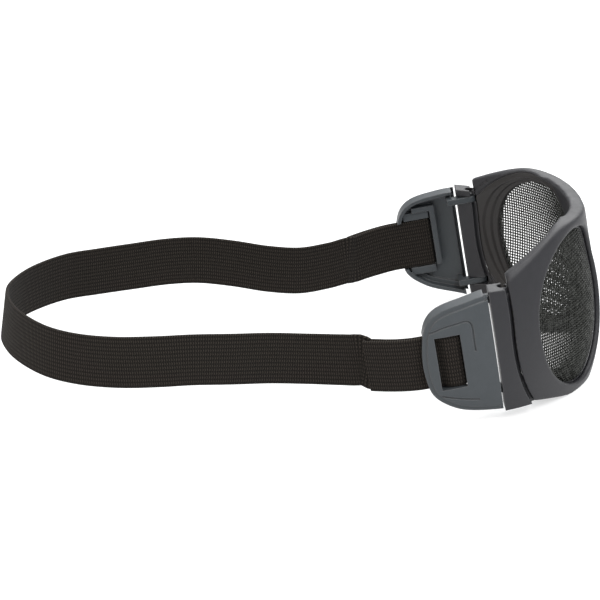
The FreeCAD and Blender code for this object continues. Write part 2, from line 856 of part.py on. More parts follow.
def make_strap_loop():
    reach = size("strapReach")
    half = strap_half_width()
    start = loop_start()
    shares = [(b * half, a * reach) for a, b in STRAP_PLAN_SHARES]
    right = start + [place for place in shares if place[1] > start[-1][1] + size("strapWidth") / 5]
    line = right + [(-x, y) for x, y in right[-2::-1]]
    band = ribbon_face(line, size("strapThickness"), -FAR)
    band = band.extrude(UP * (strap_top() + 2 * FAR))
    top = [(a * reach, b * strap_top()) for a, b in STRAP_EDGE_SHARES]
    far = half + FAR
    upper = Part.BSplineCurve()
    upper.interpolate([Vector(-far, y, z) for y, z in top])
    lower = Part.BSplineCurve()
    lower.interpolate([Vector(-far, y, z - size("strapWidth")) for y, z in top])
    start_low = lower.value(lower.FirstParameter)
    end_low = lower.value(lower.LastParameter)
    start_top = upper.value(upper.FirstParameter)
    end_top = upper.value(upper.LastParameter)
    side = Part.Face(Part.Wire([
        upper.toShape(), Part.LineSegment(end_top, end_low).toShape(),
        lower.toShape(), Part.LineSegment(start_low, start_top).toShape(),
    ]))
    loop = band.common(side.extrude(RIGHT * (2 * far)))
    return loop.cut(both_sides(strap_start()))


# Pieces turned or cut from stock, as bodies bound to the sheet

def origin_plane(body, role):
    return next(item for item in body.Origin.OriginFeatures if item.Role == role)


def add_line(sketch, start, end):
    return sketch.addGeometry(Part.LineSegment(Vector(*start, 0), Vector(*end, 0)), False)


def closed_sketch(body, name, role, corners):
    """Sketch of straight runs with its corners joined, on one of the body's own planes."""
    sketch = body.newObject("Sketcher::SketchObject", name)
    sketch.AttachmentSupport = [(origin_plane(body, role), "")]
    sketch.MapMode = "FlatFace"
    lines = []
    for start, end in zip(corners, corners[1:] + corners[:1]):
        lines.append(add_line(sketch, start, end))
    for line, follower in zip(lines, lines[1:] + lines[:1]):
        sketch.addConstraint(Sketcher.Constraint("Coincident", line, 2, follower, 1))
    for line, (start, end) in zip(lines, zip(corners, corners[1:] + corners[:1])):
        flat = "Horizontal" if start[1] == end[1] else "Vertical"
        sketch.addConstraint(Sketcher.Constraint(flat, line))
    return sketch, lines


def bind(sketch, kind, name, expression, *places):
    sketch.addConstraint(Sketcher.Constraint(kind, *places, size(name)))
    sketch.renameConstraint(sketch.ConstraintCount - 1, name + kind)
    sketch.setExpression("Constraints." + name + kind, expression)


def make_pin(label):
    """Headed pin standing on its head, turned about its own axis."""
    body = doc.addObject("PartDesign::Body", label)
    shank = size("pinRadius")
    head_radius = size("pinHeadRadius")
    head_height = size("pinHeadHeight")
    long = size("pinLength")
    corners = [(0, 0), (head_radius, 0), (head_radius, head_height), (shank, head_height),
               (shank, long), (0, long)]
    sketch, lines = closed_sketch(body, label + "_profile", "XZ_Plane", corners)
    sketch.addConstraint(Sketcher.Constraint("Coincident", lines[0], 1, -1, 1))
    bind(sketch, "DistanceX", "pinHeadRadius", "Sizes.pinHeadRadius", -1, 1, lines[0], 2)
    bind(sketch, "DistanceY", "pinHeadHeight", "Sizes.pinHeadHeight", -1, 1, lines[1], 2)
    bind(sketch, "DistanceX", "pinRadius", "Sizes.pinRadius", -1, 1, lines[3], 1)
    bind(sketch, "DistanceY", "pinLength", "Sizes.pinLength", -1, 1, lines[3], 2)
    turned = body.newObject("PartDesign::Revolution", label + "_turned")
    turned.Profile = sketch
    turned.ReferenceAxis = (sketch, ["V_Axis"])
    turned.Angle = 360
    body.Tip = turned
    body.Label = label
    return body


def make_bar(label):
    """Crossbar that the strap wraps: a flat bar along the slit frame's Z."""
    body = doc.addObject("PartDesign::Body", label)
    thick = size("barThickness")
    wide = size("barWidth")
    corners = [(0, 0), (thick, 0), (thick, wide), (0, wide)]
    sketch, lines = closed_sketch(body, label + "_section", "XY_Plane", corners)
    sketch.addConstraint(Sketcher.Constraint("Coincident", lines[0], 1, -1, 1))
    bind(sketch, "DistanceX", "barThickness", "Sizes.barThickness", -1, 1, lines[0], 2)
    bind(sketch, "DistanceY", "barWidth", "Sizes.barWidth", -1, 1, lines[1], 2)
    pad = body.newObject("PartDesign::Pad", label + "_pad")
    pad.Profile = sketch
    pad.setExpression("Length", "Sizes.strapWidth + Sizes.barGrip")
    body.Tip = pad
    body.Label = label
    return body


def make_feature(label, shape):
    feature = doc.addObject("Part::Feature", label)
    feature.Shape = shape
    feature.Label = label
    return feature


def side_name(base, side):
    return base + ("_left" if side > 0 else "_right")


def to_side(shape, side):
    return shape if side > 0 else shape.mirror(ORIGIN, RIGHT)


pieces = [make_feature("front_frame", make_front_frame())]
left_shapes = dict(zip(("lens_hem", "lens_mesh", "lens_retainer"), lens_stack()))
left_shapes["hinge_wing"] = make_wing()
left_shapes["strap_bracket"] = make_bracket()
left_shapes["strap_wrap"] = make_wrap()
for base, shape in left_shapes.items():
    for side in (1, -1):
        pieces.append(make_feature(side_name(base, side), to_side(shape, side)))
strap_loop = make_feature("strap_loop", make_strap_loop())
pieces.append(strap_loop)

# The origin is at the middle of the whole length, on the level of the frame's feet
lean = Rotation(RIGHT, -TILT)
front = pieces[0].Shape.optimalBoundingBox(False, False).YMin
rear = strap_loop.Shape.optimalBoundingBox(False, False).YMax
middle = (front + rear) / 2
seat = Vector(0, -middle, size("frameDrop"))
for piece in pieces:
    piece.Placement = Placement(seat, Rotation()).multiply(piece.Shape.Placement)

bar_room = bar_block(0.0).BoundBox
for side in (1, -1):
    corner_x = bar_room.XMin if side > 0 else -bar_room.XMax
    bar = make_bar(side_name("strap_bar", side))
    corner = lean.multVec(Vector(corner_x, bar_room.YMin, bar_room.ZMin))
    bar.Placement = Placement(corner + seat, lean)
    pieces.append(bar)
    for low, top, head_low in pin_spans():
        pin = make_pin(side_name("hinge_pin_lower" if head_low else "hinge_pin_upper", side))
        foot = Vector(side * hinge_inset(), -size("hingeAhead"), low if head_low else top)
        turn = lean if head_low else lean.multiply(Rotation(RIGHT, 180))
        pin.Placement = Placement(lean.multVec(foot) + seat, turn)
        pieces.append(pin)

doc.recompute()
for item in doc.Objects:
    if "Invalid" in item.State or "Error" in item.State:
        raise RuntimeError("failed object: " + item.Label)
for piece in pieces:
    if piece.Shape.isNull() or not piece.Shape.isValid() or not piece.Shape.Solids:
        raise RuntimeError("bad shape: " + piece.Label)

os.makedirs("parts", exist_ok=True)
for piece in pieces:
    piece.Shape.exportStep("parts/" + piece.Label + ".step")
    print("%-24s %9.1f mm3" % (piece.Label, piece.Shape.Volume))
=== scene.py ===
"""Looks of a pair of mesh safety glasses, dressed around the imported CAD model.

Lengths are metres in the CAD frame: +X is the wearer's left, -Y the front and +Z up.
The moulded pieces stay as the CAD has them and get grained plastic. The lens sheets are
replaced by woven wire, and the strap's solids by ribbed elastic webbing.
"""

import logging
import math
from dataclasses import dataclass, field
from enum import Enum
from typing import Any, Optional, Union

import bpy
import numpy as np
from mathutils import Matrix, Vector
from mathutils.bvhtree import BVHTree


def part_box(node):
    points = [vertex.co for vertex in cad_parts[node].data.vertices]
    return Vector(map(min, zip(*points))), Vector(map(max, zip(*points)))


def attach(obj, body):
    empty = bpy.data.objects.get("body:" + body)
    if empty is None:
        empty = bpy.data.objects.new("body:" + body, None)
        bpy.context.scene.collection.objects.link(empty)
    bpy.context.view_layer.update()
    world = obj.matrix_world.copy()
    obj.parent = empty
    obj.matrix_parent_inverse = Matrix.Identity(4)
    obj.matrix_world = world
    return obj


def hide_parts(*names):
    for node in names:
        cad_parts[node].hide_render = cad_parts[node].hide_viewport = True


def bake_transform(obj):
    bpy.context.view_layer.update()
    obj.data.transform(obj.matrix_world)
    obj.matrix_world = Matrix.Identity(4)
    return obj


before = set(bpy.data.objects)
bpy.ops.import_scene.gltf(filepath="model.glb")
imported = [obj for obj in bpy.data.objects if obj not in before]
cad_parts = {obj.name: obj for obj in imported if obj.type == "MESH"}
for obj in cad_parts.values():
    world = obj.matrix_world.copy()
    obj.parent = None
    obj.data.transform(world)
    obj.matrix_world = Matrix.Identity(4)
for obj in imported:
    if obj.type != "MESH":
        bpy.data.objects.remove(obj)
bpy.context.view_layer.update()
MM = 0.001

logging.basicConfig(level=logging.INFO, format="%(name)s: %(message)s")
log = logging.getLogger("mesh_glasses")

Number = Union[int, float]
Colour = tuple[float, float, float]
Point = tuple[float, float, float]
Flat = tuple[float, float]
Stops = tuple[Flat, ...]
Block = Union[bpy.types.Material, bpy.types.World]


class Side(Enum):
    """One side of the wearer's face; the value is the sign of its X."""

    LEFT = 1
    RIGHT = -1

    @property
    def label(self) -> str:
        """Name ending used by nodes and pieces."""
        return self.name.lower()

    @property
    def bracket(self) -> str:
        """Name of the CAD body that swings on this side."""
        return f"bracket_{self.label}"


BODY = "face_body"
RAY_KINDS = ("Is Camera Ray", "Is Glossy Ray", "Is Transmission Ray")
WEAVE_MAP = "weave"
CURVE_STEPS = 24
SHARP_FROM = math.radians(70.0)
WHITE = (1.0, 1.0, 1.0)
HALF = 0.5
TINY = 1e-12
SMALL = 1e-6


# Shader expressions


class Signal:
    """One output socket of a shader, with arithmetic that adds Math nodes."""

    def __init__(self, recipe: "Recipe", socket: bpy.types.NodeSocket) -> None:
        """Keeps the socket and the recipe whose tree it lives in.

        Args:
            recipe: The material being built.
            socket: The output socket to wrap.
        """
        self.recipe = recipe
        self.socket = socket

    def _maths(self, operation: str, *values: Union["Signal", Number]) -> "Signal":
        """Adds one Math node.

        Args:
            operation: Blender's name of the operation.
            values: Operands in order.

        Returns:
            The node's output.
        """
        inputs = dict(enumerate(values))
        return self.recipe.node("ShaderNodeMath", {"operation": operation}, inputs)

    def __add__(self, other: Union["Signal", Number]) -> "Signal":
        """Sum."""
        return self._maths("ADD", self, other)

    __radd__ = __add__

    def __mul__(self, other: Union["Signal", Number]) -> "Signal":
        """Product."""
        return self._maths("MULTIPLY", self, other)

    def __sub__(self, other: Union["Signal", Number]) -> "Signal":
        """Difference."""
        return self._maths("SUBTRACT", self, other)

    def __rsub__(self, other: Number) -> "Signal":
        """Difference from a number."""
        return self._maths("SUBTRACT", other, self)

    def __pow__(self, power: Number) -> "Signal":
        """Power."""
        return self._maths("POWER", self, power)

    def __abs__(self) -> "Signal":
        """Size without sign."""
        return self._maths("ABSOLUTE", self)

    def wave(self) -> "Signal":
        """Sine."""
        return self._maths("SINE", self)

    def ripple(self) -> "Signal":
        """Sine brought between 0 and 1."""
        return self.wave() * HALF + HALF

    def larger(self, other: Union["Signal", Number]) -> "Signal":
        """Larger of two values."""
        return self._maths("MAXIMUM", self, other)

    def held(self) -> "Signal":
        """Value kept between 0 and 1."""
        return self.recipe.node("ShaderNodeClamp", {}, {"Value": self})


class Recipe:
    """A material or world under construction."""

    def __init__(self, block: Block, output: str = "ShaderNodeOutputMaterial") -> None:
        """Starts an empty node tree with an output.

        Args:
            block: The material or world that owns the tree.
            output: Blender's type name of the output node.
        """
        self.block = block
        self.block.use_nodes = True
        self.tree = self.block.node_tree
        self.tree.nodes.clear()
        self.output = self.tree.nodes.new(output)

    @classmethod
    def for_material(cls, name: str) -> "Recipe":
        """Starts a new material.

        Args:
            name: Name of the material.

        Returns:
            Its recipe.
        """
        return cls(bpy.data.materials.new(name))

    def node(
        self,
        kind: str,
        settings: dict[str, Any],
        inputs: dict[Union[str, int], Any],
        output: Union[str, int] = 0,
    ) -> Signal:
        """Adds any node, sets it up and joins its inputs.

        Args:
            kind: Blender's type name of the node.
            settings: Properties set before the sockets; "stops" fills a colour ramp.
            inputs: Values or signals by socket name or number.
            output: Which output socket to return.

        Returns:
            The chosen output.
        """
        made = self.tree.nodes.new(kind)
        for key, value in settings.items():
            if key == "stops":
                self._fill_ramp(made.color_ramp, value)
            else:
                setattr(made, key, value)
        for key, value in inputs.items():
            if isinstance(value, Signal):
                self.tree.links.new(value.socket, made.inputs[key])
            else:
                made.inputs[key].default_value = value
        return Signal(self, made.outputs[output])

    @staticmethod
    def _fill_ramp(ramp: bpy.types.ColorRamp, stops: Stops) -> None:
        """Sets the stops of a grey ramp.

        Args:
            ramp: The ramp to fill.
            stops: Position and level of each stop.
        """
        while len(ramp.elements) < len(stops):
            ramp.elements.new(1.0)
        for element, (place, level) in zip(ramp.elements, stops):
            element.position = place
            element.color = (level, level, level, 1.0)

    def place(self) -> Signal:
        """Position in the object's own metres."""
        return self.node("ShaderNodeTexCoord", {}, {}, "Object")

    def noise(self, scale: float, detail: float = 3.0, stretch: Point = (1, 1, 1)) -> Signal:
        """Noise in the object's own space.

        Args:
            scale: Features per metre.
            detail: Octaves.
            stretch: Scale of each axis.

        Returns:
            Level around one half.
        """
        spot = self.node("ShaderNodeMapping", {}, {"Vector": self.place(), "Scale": stretch})
        return self.node(
            "ShaderNodeTexNoise", {}, {"Vector": spot, "Scale": scale, "Detail": detail}, "Fac"
        )

    def ramp(self, value: Signal, stops: Stops) -> Signal:
        """Grey ramp over a value.

        Args:
            value: What the ramp reads.
            stops: Position and level of each stop.

        Returns:
            The level.
        """
        return self.node("ShaderNodeValToRGB", {"stops": stops}, {"Fac": value})

    def blend_colours(self, share: Union[Signal, float], low: Any, high: Any) -> Signal:
        """Mixes two colours.

        Args:
            share: Part of the second colour.
            low: Colour or signal at 0.
            high: Colour or signal at 1.

        Returns:
            The mixed colour.
        """
        inputs = {0: share, 6: full(low), 7: full(high)}
        return self.node("ShaderNodeMix", {"data_type": "RGBA"}, inputs, 2)

    def bump(self, height: Signal, depth: float, base: Optional[Signal] = None) -> Signal:
        """Bump from a height.

        Args:
            height: Height between 0 and 1.
            depth: What 1 stands for, in metres.
            base: Normal to start from.

        Returns:
            The bent normal.
        """
        inputs: dict[Union[str, int], Any] = {"Height": height, "Distance": depth}
        if base is not None:
            inputs["Normal"] = base
        return self.node("ShaderNodeBump", {}, inputs)

    def rays(self) -> dict[str, Signal]:
        """Light-path signals of the rays that are shown white."""
        return {key: self.node("ShaderNodeLightPath", {}, {}, key) for key in RAY_KINDS}

    def surface(self, inputs: dict[str, Any]) -> Block:
        """Ends the material in a Principled shader.

        Args:
            inputs: Socket values or signals.

        Returns:
            The finished material.
        """
        return self.end(self.node("ShaderNodeBsdfPrincipled", {}, inputs))

    def end(self, shader: Signal) -> Block:
        """Ends the tree in a shader.

        Args:
            shader: The last shader.

        Returns:
            The finished material or world.
        """
        self.tree.links.new(shader.socket, self.output.inputs["Surface"])
        return self.block


def full(colour: Union[Signal, Colour]) -> Union[Signal, tuple[float, ...]]:
    """Adds alpha to a plain colour and leaves a signal as it is."""
    return colour if isinstance(colour, Signal) else (*colour, 1.0)


# Finishes


@dataclass(frozen=True)
class MouldedPlastic:
    """Satin plastic with a fine spark-eroded grain and handling marks, and a painted highlight that
    lightens every edge.

    Each pattern has its scale in features per metre, its octaves as detail, and its part in
    the result as a share or weight.
    """

    name: str
    tone: Colour
    worn: Colour
    gloss: float = 0.46
    gloss_swing: float = 0.12
    grain_scale: float = 2600.0
    grain_detail: float = 2.0
    grain_weight: float = 0.6
    grain_depth: float = 0.022 * MM
    pit_scale: float = 1170.0
    pit_detail: float = 1.0
    pit_weight: float = 0.4
    pit_stops: Stops = ((0.3, 0.0), (0.55, 1.0))
    flow_scale: float = 70.0
    flow_detail: float = 4.0
    flow_stretch: Point = (1.0, 1.0, 0.45)
    flow_share: float = 0.55
    rub_scale: float = 260.0
    rub_detail: float = 5.0
    rub_share: float = 0.3
    rub_rough: float = 0.05
    rub_stops: Stops = ((0.42, 0.0), (0.72, 1.0))
    edge: float = 0.9 * MM
    edge_samples: int = 6
    # Painted highlight along every edge: its colour, how fast it rises and how much of it shows.
    rim: Colour = (0.16, 0.16, 0.165)
    rim_gain: float = 2.6
    rim_share: float = 0.6
    shine: float = 0.34

    def make(self) -> bpy.types.Material:
        """Builds the material."""
        recipe = Recipe.for_material(self.name)
        flow = recipe.noise(self.flow_scale, self.flow_detail, self.flow_stretch)
        rubbed = recipe.ramp(recipe.noise(self.rub_scale, self.rub_detail), self.rub_stops)
        share = (flow * self.flow_share + rubbed * self.rub_share).held()
        grain = recipe.noise(self.grain_scale, self.grain_detail)
        pits = recipe.ramp(recipe.noise(self.pit_scale, self.pit_detail), self.pit_stops)
        height = grain * self.grain_weight + pits * self.pit_weight
        soft = recipe.node(
            "ShaderNodeBevel", {"samples": self.edge_samples}, {"Radius": self.edge}
        )
        plain = recipe.node("ShaderNodeNewGeometry", {}, {}, "Normal")
        facing = recipe.node(
            "ShaderNodeVectorMath", {"operation": "DOT_PRODUCT"}, {0: soft, 1: plain}, "Value"
        )
        # Edges are lightened where the rounded normal parts from the true one: a painted highlight
        # along every edge.
        rim = ((1.0 - facing) * self.rim_gain).held()
        body = recipe.blend_colours(share, self.tone, self.worn)
        rough = self.gloss + (flow - HALF) * self.gloss_swing + rubbed * self.rub_rough
        return recipe.surface(
            {
                "Base Color": recipe.blend_colours(rim * self.rim_share, body, self.rim),
                "Roughness": rough.held(),
                "Normal": recipe.bump(height, self.grain_depth, soft),
                "Specular IOR Level": self.shine,
            }
        )


@dataclass(frozen=True)
class WovenWire:
    """Blackened steel wire whose crowns have been rubbed bright."""

    name: str
    tone: Colour
    bright: Colour
    gloss: float = 0.36
    metal: float = 0.93
    patch_scale: float = 420.0
    patch_detail: float = 4.0
    patch_stops: Stops = ((0.35, 0.0), (0.7, 1.0))
    patch_polish: float = 0.06
    drawn_scale: float = 3800.0
    drawn_detail: float = 2.0
    drawn_stretch: Point = (1.0, 1.0, 0.2)
    drawn_rough: float = 0.14
    drawn_depth: float = 0.006 * MM

    def make(self) -> bpy.types.Material:
        """Builds the material."""
        recipe = Recipe.for_material(self.name)
        patch = recipe.ramp(recipe.noise(self.patch_scale, self.patch_detail), self.patch_stops)
        drawn = recipe.noise(self.drawn_scale, self.drawn_detail, self.drawn_stretch)
        rough = self.gloss + drawn * self.drawn_rough - patch * self.patch_polish
        return recipe.surface(
            {
                "Base Color": recipe.blend_colours(patch, self.tone, self.bright),
                "Metallic": self.metal,
                "Roughness": rough.held(),
                "Normal": recipe.bump(drawn, self.drawn_depth),
            }
        )


@dataclass(frozen=True)
class FoldedStrip:
    """Thin black-coated metal strip folded over the edge of the wire cloth."""

    name: str
    tone: Colour
    chipped: Colour
    gloss: float = 0.34
    chip_scale: float = 900.0
    chip_detail: float = 5.0
    chip_stops: Stops = ((0.6, 0.0), (0.7, 1.0))
    chip_metal: float = 0.7
    ripple_scale: float = 500.0
    ripple_rough: float = 0.2
    ripple_depth: float = 0.02 * MM

    def make(self) -> bpy.types.Material:
        """Builds the material."""
        recipe = Recipe.for_material(self.name)
        chips = recipe.ramp(recipe.noise(self.chip_scale, self.chip_detail), self.chip_stops)
        ripple = recipe.noise(self.ripple_scale)
        return recipe.surface(
            {
                "Base Color": recipe.blend_colours(chips, self.tone, self.chipped),
                "Metallic": chips * self.chip_metal,
                "Roughness": (self.gloss + ripple * self.ripple_rough).held(),
                "Normal": recipe.bump(ripple, self.ripple_depth),
            }
        )


@dataclass(frozen=True)
class ElasticWebbing:
    """Black knitted elastic: cords along the length, a row of stitches on each cord.

    The weave map holds millimetres: U runs along the strap and V across it. A field named
    height adds to the bump and one named light or highlight to the paler colour. The paler
    colour is partly the yarn's own mottle from fibre and fluff noise, and partly painted
    highlight on the stitch crests, which leaves painted shade in the grooves between cords.
    """

    name: str
    tone: Colour
    # The paler colour carries the yarn's own mottle and the painted highlight on the stitch crests.
    lit: Colour
    rib: float = 1.9
    stitch: float = 1.07
    slant: float = 0.4
    strands_per_rib: int = 4
    fibre_scale: float = 5200.0
    fibre_detail: float = 4.0
    fluff_scale: float = 900.0
    fluff_detail: float = 6.0
    depth: float = 0.35 * MM
    lane_height: float = 0.3
    loop_height: float = 0.5
    strand_height: float = 0.08
    fibre_height: float = 0.12
    loop_power: float = 1.6
    loop_light: float = 0.95
    fibre_light: float = 0.22
    fluff_light: float = 0.1
    dark: float = 0.08
    matt: float = 0.94
    loop_gloss: float = 0.12
    sheen: float = 0.03
    sheen_rough: float = 0.6
    shine: float = 0.12

    def make(self) -> bpy.types.Material:
        """Builds the material."""
        recipe = Recipe.for_material(self.name)
        spot = recipe.node("ShaderNodeUVMap", {"uv_map": WEAVE_MAP}, {})
        along = recipe.node("ShaderNodeSeparateXYZ", {}, {0: spot}, 0)
        across = recipe.node("ShaderNodeSeparateXYZ", {}, {0: spot}, 1)
        turn = 2 * math.pi
        lane = abs((across * (math.pi / self.rib)).wave())
        slant = lane * (self.stitch * self.slant)
        loops = ((along + slant) * (turn / self.stitch)).ripple()
        strands = (across * (turn / self.rib * self.strands_per_rib)).ripple()
        fibre = recipe.noise(self.fibre_scale, self.fibre_detail)
        fluff = recipe.noise(self.fluff_scale, self.fluff_detail)
        height = (
            lane * self.lane_height
            + loops * lane * self.loop_height
            + strands * self.strand_height
            + fibre * self.fibre_height
        ).held()
        # Paler where the stitch loops crest on each cord: painted highlight, with painted shade
        # left in the grooves between cords; the fibre and fluff noise is the yarn's own mottle.
        mottle_and_painted_crest_light = (
            loops**self.loop_power * lane * self.loop_light
            + fibre * self.fibre_light
            + fluff * self.fluff_light
            - self.dark
        ).held()
        return recipe.surface(
            {
                "Base Color": recipe.blend_colours(mottle_and_painted_crest_light, self.tone, self.lit),
                "Roughness": (self.matt - loops * self.loop_gloss).held(),
                "Normal": recipe.bump(height, self.depth),
                "Sheen Weight": self.sheen,
                "Sheen Roughness": self.sheen_rough,
                "Specular IOR Level": self.shine,
            }
        )


@dataclass(frozen=True)
class StudioPaper:
    """Seamless white paper that stays white to the camera and keeps soft shadows."""

    name: str = "studio_paper"
    albedo: float = 0.8
    lit_share: float = 0.5
    glow: float = 0.62
    grain_scale: float = 60.0
    grain_detail: float = 4.0
    grain_share: float = 0.06
    grain_tone: float = 0.97

    def make(self) -> bpy.types.Material:
        """Builds the material."""
        recipe = Recipe.for_material(self.name)
        path = recipe.rays()
        seen = path["Is Camera Ray"].larger(path["Is Glossy Ray"])
        seen = seen.larger(path["Is Transmission Ray"])
        grain = recipe.noise(self.grain_scale, self.grain_detail) * self.grain_share
        dim = self.albedo * self.grain_tone
        base = recipe.blend_colours(grain, (self.albedo,) * 3, (dim,) * 3)
        plain = recipe.node("ShaderNodeBsdfDiffuse", {}, {"Color": base})
        part = recipe.node("ShaderNodeBsdfDiffuse", {}, {"Color": full((self.lit_share,) * 3)})
        glow = recipe.node("ShaderNodeEmission", {}, {"Strength": self.glow})
        white = recipe.node("ShaderNodeAddShader", {}, {0: part, 1: glow})
        mixed = recipe.node("ShaderNodeMixShader", {}, {0: seen, 1: plain, 2: white})
        return recipe.end(mixed)


FRAME_PLASTIC = MouldedPlastic(
    "frame_plastic", tone=(0.0145, 0.0145, 0.0172), worn=(0.023, 0.023, 0.0265)
)
# Browner than the frame's plastic: a painted warm shade for the dim light inside the lens openings.
RETAINER_PLASTIC = MouldedPlastic(
    "retainer_plastic", tone=(0.016, 0.0145, 0.014), worn=(0.026, 0.023, 0.022)
)
BRACKET_PLASTIC = MouldedPlastic(
    "bracket_plastic", tone=(0.04, 0.047, 0.052), worn=(0.055, 0.062, 0.069)
)
BAR_PLASTIC = MouldedPlastic(
    "bar_plastic", tone=(0.022, 0.0195, 0.0195), worn=(0.032, 0.029, 0.029)
)
PIN_PLASTIC = MouldedPlastic("pin_plastic", tone=(0.012, 0.012, 0.014), worn=(0.02, 0.02, 0.023))
HEM_COATING = FoldedStrip("hem_coating", tone=(0.03, 0.03, 0.032), chipped=(0.25, 0.25, 0.25))
WIRE = WovenWire("woven_wire", tone=(0.018, 0.019, 0.017), bright=(0.068, 0.07, 0.065))
CLOTH = ElasticWebbing(
    "elastic_webbing", tone=(0.0036, 0.003, 0.0025), lit=(0.036, 0.03, 0.0245)
)


# Mesh helpers


@dataclass
class Shell:
    """Vertices, faces and weave coordinates of a piece being built."""

    points: list[np.ndarray] = field(default_factory=list)
    faces: list[tuple[int, ...]] = field(default_factory=list)
    weave: list[Flat] = field(default_factory=list)

    def grid(self, rows: np.ndarray, loop: bool, weave: Optional[np.ndarray] = None) -> int:
        """Adds a grid of points and the faces between them.

        Args:
            rows: Array of shape (rows, columns, 3).
            loop: Whether the last column joins the first.
            weave: Weave coordinates of shape (rows, columns, 2).

        Returns:
            Number of the first point added.
        """
        start = len(self.points)
        count, wide = rows.shape[:2]
        self.points.extend(rows.reshape(-1, 3))
        if weave is not None:
            self.weave.extend(map(tuple, weave.reshape(-1, 2)))
        reach = wide if loop else wide - 1
        for row in range(count - 1):
            for column in range(reach):
                here = start + row * wide + column
                beside = start + row * wide + (column + 1) % wide
                self.faces.append((here, beside, beside + wide, here + wide))
        return start

    def cap(self, start: int, count: int, flip: bool) -> None:
        """Closes a ring with one face.

        Args:
            start: First point of the ring.
            count: Points in the ring.
            flip: Whether the face looks the other way.
        """
        ring = tuple(range(start, start + count))
        self.faces.append(ring[::-1] if flip else ring)

    def piece(self, name: str, finish: bpy.types.Material, smooth: bool = True) -> bpy.types.Object:
        """Turns the shell into an object of the scene.

        Args:
            name: Name of the piece.
            finish: Its material.
            smooth: Whether its faces shade smoothly.

        Returns:
            The new object.
        """
        mesh = bpy.data.meshes.new(name)
        mesh.from_pydata([tuple(p) for p in self.points], [], self.faces)
        if self.weave:
            layer = mesh.uv_layers.new(name=WEAVE_MAP)
            corners = np.array([self.weave[loop.vertex_index] for loop in mesh.loops])
            layer.data.foreach_set("uv", corners.astype(np.float32).ravel())
        mesh.validate()
        mesh.materials.append(finish)
        if smooth:
            mesh.shade_smooth()
            mesh.set_sharp_from_angle(angle=SHARP_FROM)
        made = bpy.data.objects.new(name, mesh)
        bpy.context.scene.collection.objects.link(made)
        return made


def unit(vectors: np.ndarray) -> np.ndarray:
    """Scales each vector to length 1."""
    return vectors / np.maximum(np.linalg.norm(vectors, axis=-1, keepdims=True), TINY)


def smooth_line(points: np.ndarray, step: float) -> np.ndarray:
    """Runs a smooth curve through points and samples it evenly.

    Args:
        points: Array of shape (n, k).
        step: Distance between samples.

    Returns:
        The samples, ends included.
    """
    padded = np.vstack([2 * points[0] - points[1], points, 2 * points[-1] - points[-2]])
    fine = []
    for i in range(1, len(padded) - 2):
        a, b, c, d = padded[i - 1 : i + 3]
        for t in np.linspace(0, 1, CURVE_STEPS, endpoint=False):
            fine.append(
                0.5 * (2 * b + (c - a) * t + (2 * a - 5 * b + 4 * c - d) * t**2
                       + (3 * b - a - 3 * c + d) * t**3)
            )
    fine.append(points[-1])
    return even(np.array(fine), step)


def even(line: np.ndarray, step: float) -> np.ndarray:
    """Samples a polyline at even distances.

    Args:
        line: Array of shape (n, k).
        step: Wanted distance between samples.

    Returns:
        The samples, ends included.
    """
    runs = np.linalg.norm(np.diff(line, axis=0), axis=1)
    along = np.concatenate([[0.0], np.cumsum(runs)])
    count = max(int(round(along[-1] / step)), 2)
    places = np.linspace(0, along[-1], count + 1)
    return np.stack([np.interp(places, along, line[:, k]) for k in range(line.shape[1])], axis=1)


# Woven lenses


